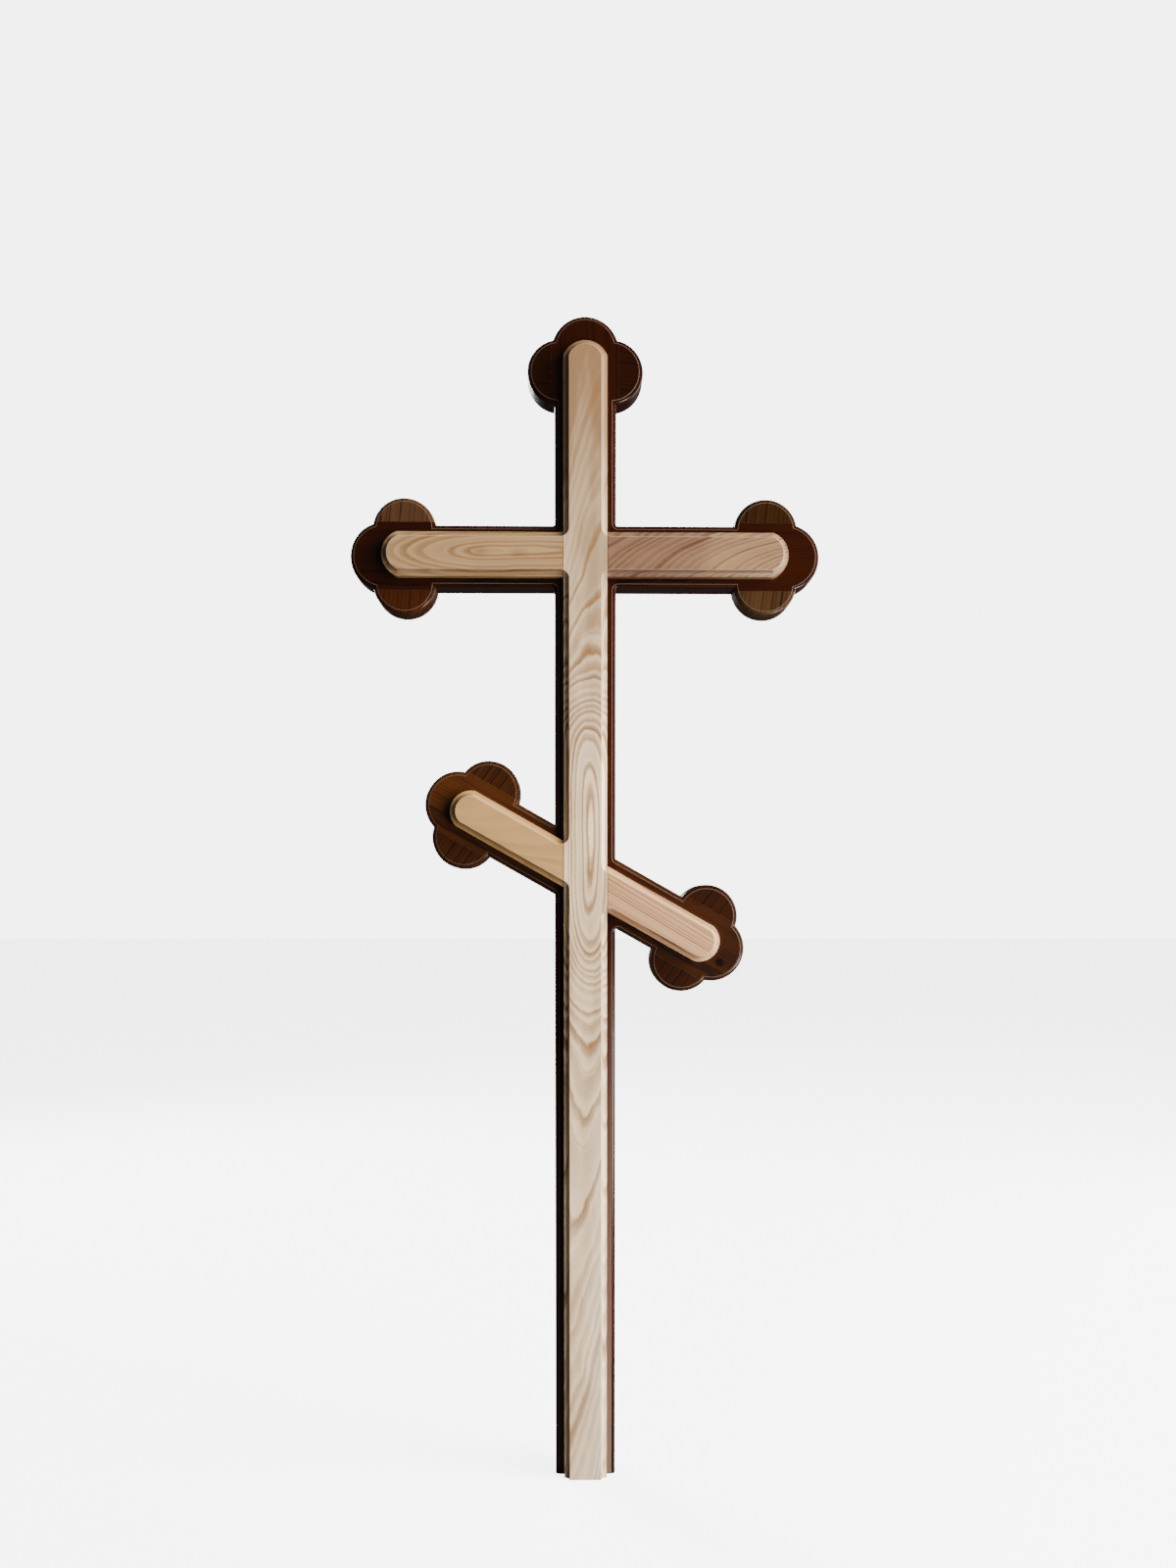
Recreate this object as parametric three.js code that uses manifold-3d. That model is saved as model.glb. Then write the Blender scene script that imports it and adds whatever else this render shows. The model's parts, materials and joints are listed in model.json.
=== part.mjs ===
// Wooden grave cross with three bars and trefoil ends.
// A dark stained base cross carries a paler overlay cross of moulded ash boards.
//
// The cross is drawn flat: X runs to the viewer's right, Y runs up the upright and Z comes out
// towards the viewer, with Z = 0 in the middle of the base's thickness. The outer group then
// stands the drawing up, so that the finished cross has +Z up and faces -Y.
// All sizes are in millimetres. The origin is the middle of the base's cut foot.

import * as THREE from 'three';
import { mergeVertices } from 'three/addons/utils/BufferGeometryUtils.js';
import Module from 'manifold-3d';

// Whole cross
const overallHeight = 2100;
const crossbarHeight = 1680;
const crossbarReach = 420;
const slantedBarHeight = 1109;
const slantedBarReach = 324;
const slantedBarFall = THREE.MathUtils.degToRad(29.5);

// Base beams
const beamWidth = 110;
const beamThickness = 45;
const beamEdgeRadius = 7;

// Trefoil ends, measured back from the tip and out from the beam's centre line
const middleLobeRadius = 60;
const sideLobeRadius = 57;
const sideLobeSetback = 97;
const sideLobeOffset = 46;
const lobeSeamOutsideBeam = 5;

// Ash overlay
const overlayWidth = 78;
const slantedOverlayWidth = 72;
const overlayThickness = 24;
const overlayEndRise = 27;
const coveRadius = 10;
const topSetback = 49;
const crossbarSetback = 58;
const slantedBarSetback = 50;

// Radius that the moulding cutter's bearing leaves in an inner corner
const beamBearing = 4;
const overlayBearing = 6;

// Clearance between two pieces that meet
const gap = 0.3;

// Fineness of round stretches
const arcDivisions = 10;
const roundOverSteps = 3;
const coveSteps = 5;
const cornerSteps = 4;

// Extra length on a body that is only there to be joined to or cut away
const spare = 40;

// Sizes that follow from the ones above
const beamHalf = beamWidth / 2;
const beamFront = beamThickness / 2;
const beamBack = -beamFront;
const seamHalf = beamHalf + lobeSeamOutsideBeam;
const trefoilLength = sideLobeSetback + sideLobeRadius;
const overlayBack = beamFront + gap;
const overlayFront = overlayBack + overlayThickness;
const overlayHalf = overlayWidth / 2;
const slantedOverlayHalf = slantedOverlayWidth / 2;

// Each free arm of the cross: the height it leaves the upright's centre line at, its direction
// and how far its base and its overlay board reach
const arms = {
  top: {
    height: 0,
    angle: Math.PI / 2,
    reach: overallHeight,
    board: overallHeight - topSetback,
    boardHalf: overlayHalf,
  },
  left: {
    height: crossbarHeight,
    angle: Math.PI,
    reach: crossbarReach,
    board: crossbarReach - crossbarSetback,
    boardHalf: overlayHalf,
  },
  right: {
    height: crossbarHeight,
    angle: 0,
    reach: crossbarReach,
    board: crossbarReach - crossbarSetback,
    boardHalf: overlayHalf,
  },
  slantedLeft: {
    height: slantedBarHeight,
    angle: Math.PI - slantedBarFall,
    reach: slantedBarReach,
    board: slantedBarReach - slantedBarSetback,
    boardHalf: slantedOverlayHalf,
  },
  slantedRight: {
    height: slantedBarHeight,
    angle: -slantedBarFall,
    reach: slantedBarReach,
    board: slantedBarReach - slantedBarSetback,
    boardHalf: slantedOverlayHalf,
  },
};

// Finishes
const stainedPine = () => new THREE.MeshStandardMaterial({ color: '#48240f', roughness: 0.25, metalness: 0 });
const planedAsh = (color) => new THREE.MeshStandardMaterial({ color, roughness: 0.45, metalness: 0 });

const wasm = await Module();
wasm.setup();

// Geometries become solids to be joined and cut, and solids become geometries again

function toSolid(geometry) {
  const bare = geometry.clone();
  bare.deleteAttribute('normal');
  bare.deleteAttribute('uv');
  const merged = mergeVertices(bare);
  return new wasm.Manifold(new wasm.Mesh({
    numProp: 3,
    vertProperties: new Float32Array(merged.attributes.position.array),
    triVerts: new Uint32Array(merged.index.array),
  }));
}

function toGeometry(solid) {
  const mesh = solid.getMesh();
  const geometry = new THREE.BufferGeometry();
  geometry.setAttribute('position', new THREE.BufferAttribute(new Float32Array(mesh.vertProperties), 3));
  geometry.setIndex(new THREE.BufferAttribute(new Uint32Array(mesh.triVerts), 1));
  geometry.computeVertexNormals();
  return geometry;
}

function join(solids) {
  return solids.reduce((whole, solid) => whole.add(solid));
}

// A box given by its low and high corners
function block(low, high) {
  const size = high.map((value, axis) => value - low[axis]);
  const middle = high.map((value, axis) => (value + low[axis]) / 2);
  return new THREE.BoxGeometry(...size).translate(...middle);
}

// Lays a geometry that is drawn along +X from the upright's centre line along an arm
function layAlong(arm, geometry) {
  return geometry.clone().rotateZ(arm.angle).translate(0, arm.height, 0);
}

// A closed body through one outline per level, from back to front. A level has its place
// towards the viewer and how far the moulding has cut in from the piece's edge.
function moulded(outlineAt, levels) {
  const rings = levels.map((level) => {
    const points = outlineAt(level.inset).getPoints(arcDivisions);
    const closes = points[0].distanceTo(points[points.length - 1]) < 1e-6;
    return closes ? points.slice(0, -1) : points;
  });
  const count = rings[0].length;
  const index = [];
  for (let level = 0; level + 1 < rings.length; level += 1) {
    for (let j = 0; j < count; j += 1) {
      const a = level * count + j;
      const b = level * count + ((j + 1) % count);
      index.push(a, b, b + count, a, b + count, a + count);
    }
  }
  for (const [a, b, c] of THREE.ShapeUtils.triangulateShape(rings[0], [])) {
    index.push(c, b, a);
  }
  const front = (rings.length - 1) * count;
  for (const [a, b, c] of THREE.ShapeUtils.triangulateShape(rings[rings.length - 1], [])) {
    index.push(front + a, front + b, front + c);
  }
  const positions = rings.flatMap((ring, i) => ring.flatMap((point) => [point.x, point.y, levels[i].out]));
  const geometry = new THREE.BufferGeometry();
  geometry.setAttribute('position', new THREE.Float32BufferAttribute(positions, 3));
  geometry.setIndex(index);
  return geometry;
}

// Square back edge, straight side and a quarter-round front edge
function beamLevels() {
  const levels = [{ out: beamBack, inset: 0 }];
  for (let i = 0; i <= roundOverSteps; i += 1) {
    const turn = (i / roundOverSteps) * (Math.PI / 2);
    levels.push({
      out: beamFront - beamEdgeRadius * (1 - Math.sin(turn)),
      inset: beamEdgeRadius * (1 - Math.cos(turn)),
    });
  }
  return levels;
}

// Straight side up to a lip, then a hollow quarter that steepens towards the front face
function boardLevels() {
  const levels = [{ out: overlayBack, inset: 0 }];
  for (let i = 0; i <= coveSteps; i += 1) {
    const turn = (i / coveSteps) * (Math.PI / 2);
    levels.push({
      out: overlayFront - coveRadius * Math.cos(turn),
      inset: coveRadius * Math.sin(turn),
    });
  }
  return levels;
}

// The same piece before its edge is moulded
function unmoulded(levels) {
  return [levels[0], { out: levels[levels.length - 1].out, inset: 0 }];
}

// Outlines, drawn along +X

function beamOutline(start, reach) {
  return (inset) => {
    const half = beamHalf - inset;
    const end = reach - middleLobeRadius;
    const corners = [[start, -half], [end, -half], [end, half], [start, half]];
    return new THREE.Shape(corners.map(([x, y]) => new THREE.Vector2(x, y)));
  };
}

function middleLobeOutline(reach) {
  return (inset) => {
    const shape = new THREE.Shape();
    shape.absarc(reach - middleLobeRadius, 0, middleLobeRadius - inset, 0, 2 * Math.PI, false);
    return shape;
  };
}

// The part of a side lobe's disc that is cut from the beam's own timber, centred on X = 0
function lobeRootOutline(inset) {
  const radius = sideLobeRadius - inset;
  const chord = Math.asin((seamHalf - sideLobeOffset) / radius);
  const shape = new THREE.Shape();
  shape.absarc(0, sideLobeOffset, radius, Math.PI - chord, 2 * Math.PI + chord, false);
  return shape;
}

// The part of a side lobe's disc that is cut from the block glued to the beam's edge
function gluedLobeOutline(inset) {
  const radius = sideLobeRadius - inset;
  const chord = Math.asin((seamHalf + gap - sideLobeOffset) / radius);
  const shape = new THREE.Shape();
  shape.absarc(0, sideLobeOffset, radius, chord, Math.PI - chord, false);
  return shape;
}

// A board with straight sides and a bowed end that meets them in clear corners
function boardOutline(start, reach, half) {
  return (inset) => {
    const bow = (half ** 2 + overlayEndRise ** 2) / (2 * overlayEndRise);
    const corner = Math.asin((half - inset) / (bow - inset));
    const shape = new THREE.Shape();
    shape.moveTo(start, half - inset);
    shape.lineTo(start, inset - half);
    shape.absarc(reach - bow, 0, bow - inset, -corner, corner, false);
    return shape;
  };
}

// The wood left in an inner corner, where the cutter's bearing rolls round instead of going in.
// The open side lies between the directions from and to, counted anticlockwise.
function innerCornerOutline(corner, from, to, bearing, depth) {
  const half = (to - from) / 2;
  const polar = (direction, length, centre) => new THREE.Vector2(Math.cos(direction), Math.sin(direction))
    .multiplyScalar(length)
    .add(centre);
  const tangent = bearing / Math.tan(half);
  const centre = polar(from + half, bearing / Math.sin(half), corner);
  const buried = [
    polar(to + Math.PI / 2, depth, polar(to, tangent, corner)),
    polar(from + half, -depth / Math.sin(half), corner),
    polar(from - Math.PI / 2, depth, polar(from, tangent, corner)),
  ];
  return (inset) => {
    const rolled = Array.from({ length: cornerSteps + 1 }, (_, i) => {
      const turn = (i / cornerSteps) * (2 * half - Math.PI);
      return polar(from - Math.PI / 2 + turn, bearing + inset, centre);
    });
    return new THREE.Shape([...buried, ...rolled]);
  };
}

// The four inner corners where a bar crosses the upright
function innerCorners(uprightHalf, barHalf, bar, bearing, levels) {
  const depth = levels[levels.length - 1].inset + gap;
  const corners = [];
  for (const side of [-1, 1]) {
    for (const edge of [-1, 1]) {
      const x = side * uprightHalf;
      const y = bar.height + x * Math.tan(bar.angle) + (edge * barHalf) / Math.cos(bar.angle);
      const alongUpright = (edge * Math.PI) / 2;
      const alongBar = side > 0 ? bar.angle : bar.angle + Math.PI;
      const barFirst = side * edge > 0;
      const from = barFirst ? alongBar : alongUpright;
      const to = barFirst ? alongUpright : alongBar;
      const turn = to < from ? 2 * Math.PI : 0;
      const outline = innerCornerOutline(new THREE.Vector2(x, y), from, to + turn, bearing, depth);
      corners.push(toSolid(moulded(outline, levels)));
    }
  }
  return join(corners);
}

// Where an arm's own body starts: the upright at the ground, the others past the centre line
function startOf(arm, extra) {
  return arm === arms.top ? 0 : -extra;
}

// The base cross with its moulded edge, still in one
function baseBlank(levels) {
  const bodies = Object.values(arms).flatMap((arm) => {
    const lobeX = arm.reach - sideLobeSetback;
    const root = moulded(lobeRootOutline, levels);
    return [
      moulded(beamOutline(startOf(arm, spare), arm.reach), levels),
      moulded(middleLobeOutline(arm.reach), levels),
      root.clone().translate(lobeX, 0, 0),
      root.clone().rotateZ(Math.PI).translate(lobeX, 0, 0),
    ].map((geometry) => toSolid(layAlong(arm, geometry)));
  });
  return join(bodies);
}

// The overlay cross with its moulded edge, still in one
function overlayBlank(levels) {
  return join(Object.values(arms).map((arm) => {
    const board = moulded(boardOutline(startOf(arm, spare), arm.board, arm.boardHalf), levels);
    return toSolid(layAlong(arm, board));
  }));
}

const baseEdge = beamLevels();
const baseCorners = join([
  innerCorners(beamHalf, beamHalf, arms.right, beamBearing, baseEdge),
  innerCorners(beamHalf, beamHalf, arms.slantedRight, beamBearing, baseEdge),
]);
const baseCross = baseBlank(baseEdge).add(baseCorners.intersect(baseBlank(unmoulded(baseEdge))));

const boardEdge = boardLevels();
const boardCorners = join([
  innerCorners(overlayHalf, overlayHalf, arms.right, overlayBearing, boardEdge),
  innerCorners(overlayHalf, slantedOverlayHalf, arms.slantedRight, overlayBearing, boardEdge),
]);
const overlayCross = overlayBlank(boardEdge)
  .add(boardCorners.intersect(overlayBlank(unmoulded(boardEdge))));

// A slab along an arm, reaching a little past the cross in every direction that isn't given
function slab(arm, half, from, to, back = beamBack - spare, front = overlayFront + spare) {
  return toSolid(layAlong(arm, block([from, -half, back], [to, half, front])));
}

// What a beam keeps of the base cross: its own width, and the wider blocks at its trefoil ends
function beamTimber(...ends) {
  return join(ends.flatMap((arm) => [
    slab(arm, beamHalf, startOf(arm, spare), arm.reach + spare),
    slab(arm, seamHalf, arm.reach - trefoilLength, arm.reach + spare),
  ]));
}

// Half-lap joints. The upright keeps its front half and the bars keep their back half.
const lapInUpright = join([arms.right, arms.slantedRight].map((bar) => (
  slab(bar, beamHalf + gap, -bar.reach / 2, bar.reach / 2, beamBack - spare, gap / 2)
)));
const lapInBars = slab(arms.top, beamHalf + gap, 0, overallHeight, -gap / 2, beamFront + spare);

const uprightBeam = baseCross.intersect(beamTimber(arms.top)).subtract(lapInUpright);
const crossbarBeam = baseCross.intersect(beamTimber(arms.left, arms.right)).subtract(lapInBars);
const slantedBeam = baseCross.intersect(beamTimber(arms.slantedLeft, arms.slantedRight)).subtract(lapInBars);

// Overlay boards. The upright board runs through and the arm boards butt against its sides.
const uprightBoard = overlayCross.intersect(slab(arms.top, overlayHalf, 0, overallHeight));
const besideUpright = slab(arms.top, overlayHalf + gap, -spare, overallHeight);

function armBoard(arm) {
  return overlayCross.intersect(slab(arm, beamHalf, 0, arm.reach)).subtract(besideUpright);
}

// One group per physical layer, with every piece a named mesh
function piece(name, geometry, material) {
  const mesh = new THREE.Mesh(geometry, material);
  mesh.name = name;
  return mesh;
}

// The two glued side lobes of one trefoil end, named for the sides they stand on
function gluedLobes(arm, nameAhead, nameBehind) {
  const end = new THREE.Group();
  end.position.y = arm.height;
  end.rotation.z = arm.angle;
  for (const [name, turn] of [[nameAhead, 0], [nameBehind, Math.PI]]) {
    const lobe = piece(name, moulded(gluedLobeOutline, baseEdge), stainedPine());
    lobe.position.x = arm.reach - sideLobeSetback;
    lobe.rotation.z = turn;
    end.add(lobe);
  }
  return end;
}

const baseLayer = new THREE.Group();
baseLayer.add(
  piece('base_upright', toGeometry(uprightBeam), stainedPine()),
  piece('base_crossbar', toGeometry(crossbarBeam), stainedPine()),
  piece('base_slanted_bar', toGeometry(slantedBeam), stainedPine()),
  gluedLobes(arms.top, 'lobe_top_left', 'lobe_top_right'),
  gluedLobes(arms.left, 'lobe_left_lower', 'lobe_left_upper'),
  gluedLobes(arms.right, 'lobe_right_upper', 'lobe_right_lower'),
  gluedLobes(arms.slantedLeft, 'lobe_slanted_left_lower', 'lobe_slanted_left_upper'),
  gluedLobes(arms.slantedRight, 'lobe_slanted_right_upper', 'lobe_slanted_right_lower'),
);

const overlayLayer = new THREE.Group();
overlayLayer.add(
  piece('overlay_upright', toGeometry(uprightBoard), planedAsh('#d6c5b3')),
  piece('overlay_left_arm', toGeometry(armBoard(arms.left)), planedAsh('#c0a588')),
  piece('overlay_right_arm', toGeometry(armBoard(arms.right)), planedAsh('#b3947b')),
  piece('overlay_slanted_left_arm', toGeometry(armBoard(arms.slantedLeft)), planedAsh('#c9ab86')),
  piece('overlay_slanted_right_arm', toGeometry(armBoard(arms.slantedRight)), planedAsh('#cdb39a')),
);

const cross = new THREE.Group();
cross.add(baseLayer, overlayLayer);
cross.rotation.x = Math.PI / 2;

export default cross;
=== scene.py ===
"""Wooden grave cross: a dark stained base with trefoil ends under a moulded ash overlay.

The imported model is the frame. Each piece here is a finer mesh of one of its nodes and stands where the
node stands, in metres, with +Z up, the front facing -Y and the origin at the cut foot. The sizes in
the classes are millimetres, and an outline is drawn in the plane of the front, X across and Z up.
"""

import json
import logging
import math
from abc import ABC, abstractmethod
from collections.abc import Callable, Sequence
from dataclasses import dataclass
from enum import Enum

import bmesh
import bpy
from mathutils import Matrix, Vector


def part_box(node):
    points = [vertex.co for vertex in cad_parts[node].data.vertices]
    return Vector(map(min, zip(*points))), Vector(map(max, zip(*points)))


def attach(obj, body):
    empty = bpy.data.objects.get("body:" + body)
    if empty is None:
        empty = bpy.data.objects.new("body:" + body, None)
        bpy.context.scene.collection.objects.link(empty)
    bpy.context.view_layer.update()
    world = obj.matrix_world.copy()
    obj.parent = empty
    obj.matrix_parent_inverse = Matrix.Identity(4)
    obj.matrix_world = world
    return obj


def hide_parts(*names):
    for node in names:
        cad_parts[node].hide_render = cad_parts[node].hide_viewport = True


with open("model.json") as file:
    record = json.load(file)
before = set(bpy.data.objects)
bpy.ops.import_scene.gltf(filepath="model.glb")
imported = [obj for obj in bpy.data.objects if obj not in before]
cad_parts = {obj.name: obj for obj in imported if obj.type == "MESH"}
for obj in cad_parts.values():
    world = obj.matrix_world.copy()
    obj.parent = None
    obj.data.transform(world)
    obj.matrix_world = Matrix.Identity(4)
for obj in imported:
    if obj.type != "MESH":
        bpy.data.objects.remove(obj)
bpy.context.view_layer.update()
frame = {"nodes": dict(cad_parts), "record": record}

log = logging.getLogger("grave_cross")

MM = 0.001
BODY = "root"
SMOOTH_ANGLE = math.radians(14)
# Point attribute of the pale line along the eased front arris: partly rubbed lacquer wear, partly painted
# highlight
WEAR_AND_SHEEN = "wear_and_sheen"

# Points of a lofted board that lie closer than this are one, in millimetres
WELD = 0.004

# How much further the front face stays off a glued joint than its eased arris does, in millimetres
JOINT_STEP = 0.02

# The kinds of node that the trees use most
MATH = "ShaderNodeMath"
VECTOR_MATH = "ShaderNodeVectorMath"
COMBINE = "ShaderNodeCombineXYZ"
SEPARATE = "ShaderNodeSeparateXYZ"

Point = tuple[float, float]
Outline = list[Point]


def srgb(code: str) -> tuple[float, float, float, float]:
    """Turns an sRGB hex colour into linear light.

    Args:
        code: The colour as #rrggbb.

    Returns:
        Linear red, green, blue and an alpha of one.
    """
    channels = [int(code[i:i + 2], 16) / 255 for i in (1, 3, 5)]
    linear = [c / 12.92 if c <= 0.04045 else ((c + 0.055) / 1.055) ** 2.4 for c in channels]
    return (*linear, 1.0)


def arc(centre: Point, radius: float, start: float, end: float, steps: int) -> Outline:
    """Draws an arc.

    Args:
        centre: The centre of the circle.
        radius: Its radius.
        start: The angle of the first point.
        end: The angle of the last point.
        steps: How many straight steps the arc takes.

    Returns:
        The points, both ends included.
    """
    turns = (start + (end - start) * i / steps for i in range(steps + 1))
    return [(centre[0] + radius * math.cos(t), centre[1] + radius * math.sin(t)) for t in turns]


def bearing_of(centre: Point, point: Point) -> float:
    """Angle of the direction from a centre to a point."""
    return math.atan2(point[1] - centre[1], point[0] - centre[0])


def stretch_between(path: Outline, low: float, high: float, count: int) -> Outline:
    """Cuts a path that runs outwards to a stretch of X and spaces its points evenly.

    Args:
        path: Points whose X never turns back.
        low: The X where the stretch starts, no less than the first point's.
        high: The X where it ends.
        count: How many points the result has.

    Returns:
        Evenly spaced points of the stretch, so that every level of a moulding has as many.
    """
    def point_at(x: float) -> Point:
        """Point of the path at an X."""
        for (ax, az), (bx, bz) in zip(path, path[1:]):
            if ax <= x <= bx and bx > ax:
                return (x, az + (bz - az) * (x - ax) / (bx - ax))
        return (x, path[0][1] if x < path[0][0] else path[-1][1])

    inside = [p for p in path if low < p[0] < high]
    points = [point_at(low), *inside, point_at(high)]
    lengths = [0.0]
    for a, b in zip(points, points[1:]):
        lengths.append(lengths[-1] + math.dist(a, b))
    result = []
    place = 0
    for i in range(count):
        wanted = lengths[-1] * i / (count - 1)
        while place < len(points) - 2 and lengths[place + 1] < wanted:
            place += 1
        span = lengths[place + 1] - lengths[place]
        share = (wanted - lengths[place]) / span if span > 0 else 0.0
        a, b = points[place], points[place + 1]
        result.append((a[0] + (b[0] - a[0]) * share, a[1] + (b[1] - a[1]) * share))
    return result


@dataclass(frozen=True)
class Level:
    """One height of a moulded edge: how far out it is, how far in it is cut, a joint's easing and how much of
    the pale edge line it takes, which is partly rubbed wear and partly painted highlight.
    """

    out: float
    inset: float
    ease: float = 0.0
    wear_and_sheen: float = 0.0


class EdgeShape(Enum):
    """The two mouldings of the cross."""

    ROUND_OVER = "quarter-round under a small step"
    COVE = "hollow quarter above a lip"


@dataclass(frozen=True)
class Moulding:
    """A moulded front edge, from the back face to the front face."""

    shape: EdgeShape
    back: float
    front: float
    radius: float
    step: float
    back_ease: float
    arris: float
    joint_ease: float
    # Width of the pale edge line on the front face: partly rubbed wear, partly painted highlight
    worn_and_sheen: float
    divisions: int

    def levels(self) -> list[Level]:
        """Lists the heights that an outline is drawn at.

        Returns:
            Levels from the back to the front.
        """
        levels = [Level(self.back, self.back_ease), Level(self.back + self.back_ease, 0.0)]
        turns = [math.pi / 2 * i / self.divisions for i in range(self.divisions + 1)]
        if self.shape is EdgeShape.ROUND_OVER:
            top = self.front - self.step
            for turn in turns:
                out = top - self.radius * (1 - math.sin(turn))
                levels.append(Level(out, self.radius * (1 - math.cos(turn))))
        else:
            lip = self.front - self.radius
            levels += [Level(lip - self.arris, 0.0), Level(lip, self.arris)]
            for turn in turns[1:-1]:
                levels.append(Level(self.front - self.radius * math.cos(turn), self.radius * math.sin(turn)))
        inset = self.radius + self.arris
        # The arris and the edge of the face take the pale line: partly rubbed wear, partly painted highlight
        levels.append(Level(self.front - self.arris, self.radius, 0.0, 1.0))
        levels.append(Level(self.front, inset, self.joint_ease, 1.0))
        levels.append(Level(self.front, inset + self.worn_and_sheen, self.joint_ease + JOINT_STEP))
        return levels


@dataclass(frozen=True)
class Arm:
    """One of the five free arms, from the upright's centre line to its tip."""

    height: float
    angle: float
    reach: float
    board: float
    board_half: float

    @property
    def side(self) -> int:
        """1 for an arm on the viewer's right and -1 for one on the left."""
        return 1 if math.cos(self.angle) > 0 else -1

    @property
    def slope(self) -> float:
        """Angle of the arm's bar, read from left to right."""
        return math.atan2(self.side * math.sin(self.angle), self.side * math.cos(self.angle))

    def place(self, along: float, aside: float) -> Point:
        """Point of the front plane at a distance along the arm and to its left."""
        c, s = math.cos(self.angle), math.sin(self.angle)
        return (c * along - s * aside, self.height + s * along + c * aside)


@dataclass(frozen=True)
class InnerCorner:
    """Where a bar's edge meets the upright's edge and the cutter's bearing has rolled round."""

    upright_half: float
    bar_half: float
    bar_height: float
    slope: float
    side: int
    edge: int
    bearing: float
    run: float = 24.0
    points: int = 14
    roll_steps: int = 24

    def path(self, inset: float) -> Outline:
        """Rolls round the corner from the upright's edge to the bar's.

        Args:
            inset: How far the moulding has cut in.

        Returns:
            Points with X counted away from the centre line, so that it always grows.
        """
        a, b = self.upright_half, self.bearing
        tan, cos = math.tan(self.slope) * self.side, math.cos(self.slope)
        centre = (a + b, self.bar_height + (a + b) * tan + self.edge * (self.bar_half + b) / cos)
        start = math.pi
        end = math.atan2(-self.edge * cos, self.edge * math.sin(self.slope) * self.side)
        sweep = (end - start + math.pi) % (2 * math.pi) - math.pi
        rolled = arc(centre, b + inset, start, start + sweep, self.roll_steps)
        x = a + self.run
        last = (x, self.bar_height + x * tan + self.edge * (self.bar_half - inset) / cos)
        return [*rolled, last]

    def on_upright(self, level: Level) -> Outline:
        """Draws the stretch that is cut in the upright's own board.

        Args:
            level: The height on the moulding.

        Returns:
            Points from the upright's edge to the joint.
        """
        path = self.path(level.inset)
        stretch = stretch_between(path, path[0][0], self.upright_half - level.ease, self.points)
        return [(self.side * x, z) for x, z in stretch]

    def on_bar(self, level: Level) -> Outline:
        """Draws the stretch that is cut in the bar's own board.

        Args:
            level: The height on the moulding.

        Returns:
            Points from the joint outwards, no further out than the uncut board.
        """
        low = self.upright_half + level.ease
        stretch = stretch_between(self.path(level.inset), low, self.upright_half + self.run, self.points)
        kept = []
        for x, z in stretch:
            uncut = self.bar_height + x * math.tan(self.slope) * self.side
            uncut += self.edge * self.bar_half / math.cos(self.slope)
            kept.append((self.side * x, min(z, uncut) if self.edge > 0 else max(z, uncut)))
        return kept


def mesh_object(name: str, vertices: Sequence[Sequence[float]],
                faces: Sequence[Sequence[int]]) -> bpy.types.Object:
    """Makes a mesh object at the origin and links it to the scene.

    Args:
        name: The object's name.
        vertices: Places in metres.
        faces: Corner numbers of each face.

    Returns:
        The new object.
    """
    mesh = bpy.data.meshes.new(name)
    mesh.from_pydata(vertices, [], faces)
    piece = bpy.data.objects.new(name, mesh)
    bpy.context.scene.collection.objects.link(piece)
    return piece


def mark_wear_and_sheen(piece: bpy.types.Object, wear_and_sheen: Sequence[float]) -> None:
    """Stores how much of the pale edge line, partly rubbed wear and partly painted highlight, each point of a
    mesh takes.
    """
    piece.data.attributes.new(WEAR_AND_SHEEN, "FLOAT", "POINT").data.foreach_set("value", wear_and_sheen)


def loft(name: str, levels: Sequence[Level], outline_at: Callable[[Level], Outline]) -> bpy.types.Object:
    """Builds a closed moulded board from its outline at each level.

    Args:
        name: The object's name.
        levels: The moulding's levels, from back to front.
        outline_at: Draws the outline of a level, anticlockwise seen from the front.

    Returns:
        The board as an object.
    """
    rings = [outline_at(level) for level in levels]
    count = len(rings[0])
    vertices = [(x * MM, -level.out * MM, z * MM) for level, ring in zip(levels, rings) for x, z in ring]
    faces = [list(reversed(range(count)))]
    for start in range(0, count * (len(rings) - 1), count):
        for i in range(count):
            j = (i + 1) % count
            faces.append([start + i, start + j, start + count + j, start + count + i])
    faces.append(list(range(count * (len(rings) - 1), count * len(rings))))
    piece = mesh_object(name, vertices, faces)
    mark_wear_and_sheen(piece, [level.wear_and_sheen for level in levels for _ in range(count)])
    shell = bmesh.new()
    shell.from_mesh(piece.data)
    bmesh.ops.remove_doubles(shell, verts=shell.verts, dist=WELD * MM)
    bmesh.ops.dissolve_degenerate(shell, edges=shell.edges, dist=WELD * MM)
    bmesh.ops.recalc_face_normals(shell, faces=shell.faces)
    shell.to_mesh(piece.data)
    shell.free()
    return piece


def socket_at(sockets: Sequence[bpy.types.NodeSocket], key: str | int) -> bpy.types.NodeSocket:
    """Socket with a number or a name among those that are in use."""
    in_use = [socket for socket in sockets if socket.enabled]
    return in_use[key] if isinstance(key, int) else next(socket for socket in in_use if socket.name == key)


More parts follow.
